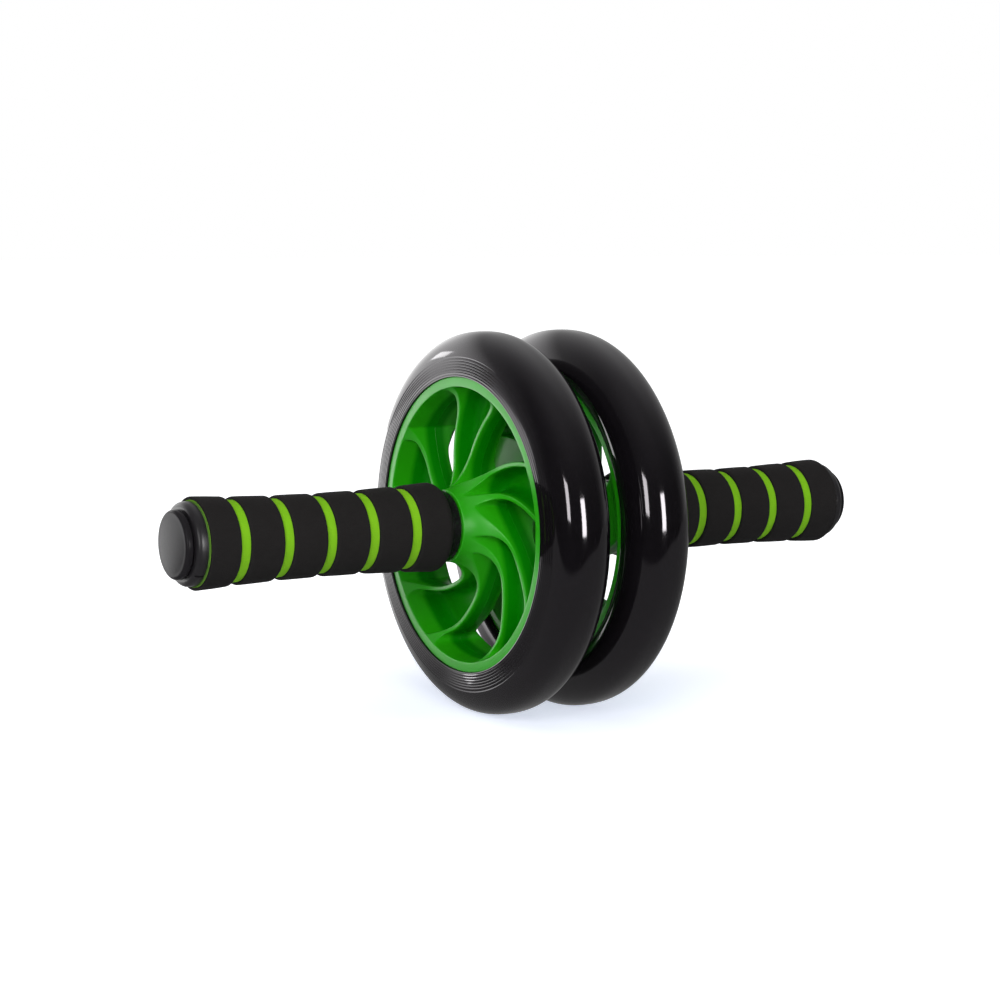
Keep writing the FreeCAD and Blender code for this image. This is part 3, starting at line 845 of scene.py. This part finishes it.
def cutSeam(collar, start, end):
    # fine moulding seam along the collar
    shape = endShape
    deselectAll()
    bpy.ops.mesh.primitive_cube_add(size=1)
    cutter = bpy.context.object
    bpy.ops.transform.resize(value=(end - start + 2 * mm, shape["seamWidth"], 2 * shape["seamDepth"]))
    bpy.ops.transform.translate(value=((start + end) / 2, 0, axleZ + shape["endRadius"]))
    bpy.ops.object.transform_apply(location=True, rotation=True, scale=True)
    turn = radians(90 - shape["seamAngle"])
    bpy.ops.transform.rotate(value=turn, orient_axis="X", center_override=(0, 0, axleZ))
    bpy.ops.object.transform_apply(location=True, rotation=True, scale=True)
    makeActive(collar)
    cut = collar.modifiers.new("seam", "BOOLEAN")
    cut.object = cutter
    cut.solver = "EXACT"
    bpy.ops.object.modifier_apply(modifier="seam")
    bpy.data.objects.remove(cutter)


def endCap(name):
    shape = endShape
    low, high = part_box("right_end_cap")
    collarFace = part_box("right_end_collar")[1].x
    back = collarFace + shape["neckLength"]
    edge = high.x - shape["dome"]
    rim = shape["capRadius"] - shape["faceEdge"]
    points = softOutline([
        (low.x, shape["cavity"], 0), (low.x, shape["spigot"], 0), (collarFace, shape["spigot"], 0),
        (collarFace, shape["neckRadius"], 0), (back, shape["neckRadius"], 0.2 * mm),
        (back, shape["capRadius"], 0.5 * mm), (edge, shape["capRadius"], shape["capRound"]),
        (edge, rim, 0),
    ], 6)
    for step in range(1, shape["domeSteps"] + 1):
        radius = rim * (1 - step / shape["domeSteps"])
        points.append(Vector((edge + shape["dome"] * (1 - (radius / rim) ** 2), radius)))
    points.append(Vector((edge - shape["faceWall"], 0)))
    points.append(Vector((edge - shape["faceWall"], shape["cavity"])))
    return spinPiece(name, points, shape["steps"])


for make, label, node, slot, finish in (
    (handleSleeve, "HandleSleeve", "handle_tube", "black_plastic", "collar"),
    (endCollar, "EndCollar", "end_collar", "black_plastic", "end"),
    (endCap, "EndCap", "end_cap", "cap_plastic", "cap"),
):
    rightPiece = make("right" + label)
    smoothShade(rightPiece, 32)
    for piece, side in ((rightPiece, "right"), (leftCopy(rightPiece, "left" + label), "left")):
        fitPiece(piece, handles, slot, finishes[finish], f"{side}_{node}")
print("handle ends modelled")


# Inner pieces stay as they are in the frame, with their own finishes
innerFinish = {"axle_tube": "zinc", "center_spacer": "nylon"}
for side in ("left", "right"):
    for node in ("inner_bush", "outer_bush"):
        innerFinish[f"{side}_{node}"] = "nylon"
    for node in ("thrust_washer", "axle_insert", "screw_washer", "end_screw"):
        innerFinish[f"{side}_{node}"] = "zinc"
for node, finish in innerFinish.items():
    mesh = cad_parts[node].data
    mesh.materials.clear()
    mesh.materials.append(finishes[finish])
print("inner pieces finished:", len(innerFinish))


# Stage: pale floor, white surround, soft lamps, and the camera at the photograph's angle
stageLook = {"floorSize": 14.0, "floorColour": (0.84, 0.86, 0.90), "nearGlowShadowTint": (0.58, 0.62, 0.71),
             "floorShare": 0.9, "floorFar": (0.06, 0.34), "floorDark": 0.03, "floorFront": 0.30,
             "frontEdge": (-0.31, -0.27), "floorBack": 3.8, "backEdge": (-0.045, 0.025),
             "backSide": (-0.24, 0.97), "leftEdge": (0.06, 0.42), "ambient": 0.24, "roomGlow": 0.05,
             "upperGlow": 0.36, "upperPower": 2.5, "backdropGlow": 0.52, "backdropEdge": (-0.2, 0.7),
             "panelGlow": 1.7, "panelTurn": -38, "panelEdge": (0.76, 0.95), "floorDrop": 0.2 * mm,
             "grainScale": 30, "grainTone": 0.985}
cameraView = {"azimuth": -32.33, "elevation": 6.944, "roll": 0.643, "place": (-0.6460, -0.99806, 0.24431),
              "focal": 90.954, "sensor": 36.0}


def awayFromCamera(turn):
    # level direction that leads away from the camera, turned to the right of it
    a = radians(180 + cameraView["azimuth"] - turn)
    return Vector((sin(a), -cos(a), 0))


def floorFinish():
    # to the camera the floor glows bluish grey near the object and white further out, on top of its lit
    # colour, so the lamps' shadow shows only by the wheels, with a painted bluish tint; dim in the mirrored
    # light on the object
    finish, shader = newFinish("paleFloor", Roughness=0.9, Specular_IOR_Level=0.0)
    links = finish.node_tree.links
    look = stageLook
    grain = noise(finish, objectPlace(finish), look["grainScale"], 2.0)
    colour = look["floorColour"]
    dull = [look["grainTone"] * part for part in colour]
    connect(finish, colourBetween(finish, grain, dull, colour), shader, "Base Color")
    path = addNode(finish, "ShaderNodeLightPath")
    reach = addNode(finish, "ShaderNodeVectorMath", operation="LENGTH")
    links.new(objectPlace(finish), reach.inputs[0])
    white = addNode(finish, "ShaderNodeEmission", Strength=1.0)
    # painted shadow tint: the glow is bluish grey close to the object and white beyond
    far = mapTo(finish, reach.outputs["Value"], 0, 1, *look["floorFar"])
    links.new(colourBetween(finish, far, look["nearGlowShadowTint"], (1, 1, 1)), white.inputs["Color"])
    shaded = addNode(finish, "ShaderNodeMixShader", Fac=look["floorShare"])
    black = addNode(finish, "ShaderNodeEmission", Strength=0.0)
    links.new(black.outputs[0], shaded.inputs[1])
    links.new(shader.outputs[0], shaded.inputs[2])
    seen = addNode(finish, "ShaderNodeAddShader")
    links.new(white.outputs[0], seen.inputs[0])
    links.new(shaded.outputs[0], seen.inputs[1])
    # mirrored, the floor is dark far in front, grey by the object and bright behind its left side
    left = awayFromCamera(-90)
    back = awayFromCamera(0)
    toLeft, toBack = look["backSide"]
    zones = ((left * toLeft + back * toBack, 0, look["floorBack"], look["backEdge"]),
             (left, 0, 1, look["leftEdge"]),
             (back, look["floorDark"], look["floorFront"], look["frontEdge"]))
    levels = []
    for way, low, high, edge in zones:
        across = addNode(finish, "ShaderNodeVectorMath", operation="DOT_PRODUCT")
        links.new(objectPlace(finish), across.inputs[0])
        across.inputs[1].default_value = way
        levels.append(mapTo(finish, across.outputs["Value"], low, high, *edge))
    total = addNode(finish, "ShaderNodeMath", operation="MULTIPLY_ADD")
    for level, socket in zip(levels, total.inputs):
        links.new(level, socket)
    mirrored = addNode(finish, "ShaderNodeEmission")
    links.new(total.outputs[0], mirrored.inputs["Strength"])
    first = addNode(finish, "ShaderNodeMixShader")
    links.new(path.outputs["Is Glossy Ray"], first.inputs[0])
    links.new(shader.outputs[0], first.inputs[1])
    links.new(mirrored.outputs[0], first.inputs[2])
    last = addNode(finish, "ShaderNodeMixShader")
    links.new(path.outputs["Is Camera Ray"], last.inputs[0])
    links.new(first.outputs[0], last.inputs[1])
    links.new(seen.outputs[0], last.inputs[2])
    links.new(last.outputs[0], finish.node_tree.nodes["Material Output"].inputs["Surface"])
    return finish


deselectAll()
bpy.ops.mesh.primitive_plane_add(size=stageLook["floorSize"], location=(0, 0, -stageLook["floorDrop"]))
floor = bpy.context.object
floor.name = "floor"
floor.data.materials.append(floorFinish())


def facingBasis(azimuth, elevation, roll=0.0):
    # axes of something that looks back from that direction, as columns right, up and back
    a = radians(azimuth)
    e = radians(elevation)
    back = Vector((sin(a) * cos(e), -cos(a) * cos(e), sin(e)))
    right = Vector((cos(a), sin(a), 0))
    up = back.cross(right)
    lean = radians(roll)
    columns = (right * cos(lean) + up * sin(lean), up * cos(lean) - right * sin(lean), back)
    return Matrix(columns).transposed()


def surroundings():
    world = bpy.data.worlds.new("studio")
    bpy.context.scene.world = world
    world.use_nodes = True
    nodes = world.node_tree.nodes
    links = world.node_tree.links

    def background(strength):
        node = nodes.new("ShaderNodeBackground")
        node.inputs["Color"].default_value = (1, 1, 1, 1)
        node.inputs["Strength"].default_value = strength
        return node

    def ramp(value, edge, low, high):
        node = nodes.new("ShaderNodeMapRange")
        node.interpolation_type = "SMOOTHSTEP"
        for socket, number in zip(("From Min", "From Max", "To Min", "To Max"), (*edge, low, high)):
            node.inputs[socket].default_value = number
        links.new(value, node.inputs["Value"])
        return node.outputs["Result"]

    def mix(share, first, second):
        node = nodes.new("ShaderNodeMixShader")
        links.new(share, node.inputs[0])
        links.new(first.outputs[0], node.inputs[1])
        links.new(second.outputs[0], node.inputs[2])
        return node

    def math(operation, first, second):
        node = nodes.new("ShaderNodeMath")
        node.operation = operation
        for value, socket in zip((first, second), node.inputs):
            if isinstance(value, (int, float)):
                socket.default_value = value
            else:
                links.new(value, socket)
        return node.outputs[0]

    # mirrored surroundings: dark room, grey ceiling, pale backdrop, and a white panel at its left
    look = stageLook
    way = nodes.new("ShaderNodeTexCoord").outputs["Generated"]

    def along(direction):
        node = nodes.new("ShaderNodeVectorMath")
        node.operation = "DOT_PRODUCT"
        node.inputs[1].default_value = direction
        links.new(way, node.inputs[0])
        return node.outputs["Value"]

    height = math("POWER", math("MAXIMUM", along((0, 0, 1)), 0.0), look["upperPower"])
    ceiling = math("MULTIPLY_ADD", height, look["upperGlow"])
    ceiling.node.inputs[2].default_value = look["roomGlow"]
    backdrop = ramp(along(awayFromCamera(0)), look["backdropEdge"], 0.0, look["backdropGlow"])
    panel = ramp(along(awayFromCamera(look["panelTurn"])), look["panelEdge"], 0.0, look["panelGlow"])
    mirrored = background(1.0)
    links.new(math("ADD", math("ADD", ceiling, backdrop), panel), mirrored.inputs["Strength"])
    path = nodes.new("ShaderNodeLightPath")
    seen = nodes.new("ShaderNodeMath")
    seen.operation = "MAXIMUM"
    links.new(path.outputs["Is Camera Ray"], seen.inputs[0])
    links.new(path.outputs["Is Transmission Ray"], seen.inputs[1])
    lit = mix(path.outputs["Is Glossy Ray"], background(look["ambient"]), mirrored)
    final = mix(seen.outputs[0], lit, background(1.0))
    links.new(final.outputs[0], nodes["World Output"].inputs["Surface"])


surroundings()

# azimuth and elevation seen from the axle's middle, distance, width, height, watts, and what it lights
lamps = {
    "rightStrip": (5.5, 7.2, 2.3, 0.62, 0.86, 42, "gloss"),
    "backSpot": (199.7, 14, 2.3, 0.34, 0.18, 1.1, "gloss"),
    "leftStrip": (-60, 11.3, 2.3, 0.50, 0.68, 15, "gloss"),
    "frontFill": (-44, 20, 2.2, 1.8, 1.2, 44, "body"),
    "topFill": (-40, 68, 1.9, 1.7, 1.3, 10, "body"),
}
for name, (azimuth, elevation, distance, width, height, watts, lights) in lamps.items():
    deselectAll()
    bpy.ops.object.light_add(type="AREA")
    lamp = bpy.context.object
    lamp.name = name
    lamp.data.shape = "RECTANGLE"
    lamp.data.size = width
    lamp.data.size_y = height
    lamp.data.energy = watts
    lamp.visible_camera = False
    lamp.visible_diffuse = lights != "gloss"
    lamp.visible_glossy = lights != "body"
    basis = facingBasis(azimuth, elevation)
    lamp.matrix_world = Matrix.Translation(Vector((0, 0, axleZ)) + basis.col[2] * distance) @ basis.to_4x4()

deselectAll()
bpy.ops.object.camera_add()
camera = bpy.context.object
camera.data.lens = cameraView["focal"]
camera.data.sensor_width = cameraView["sensor"]
basis = facingBasis(cameraView["azimuth"], cameraView["elevation"], cameraView["roll"])
camera.matrix_world = Matrix.Translation(cameraView["place"]) @ basis.to_4x4()
bpy.context.scene.camera = camera
bpy.context.scene.view_settings.view_transform = "Standard"
print("stage set")
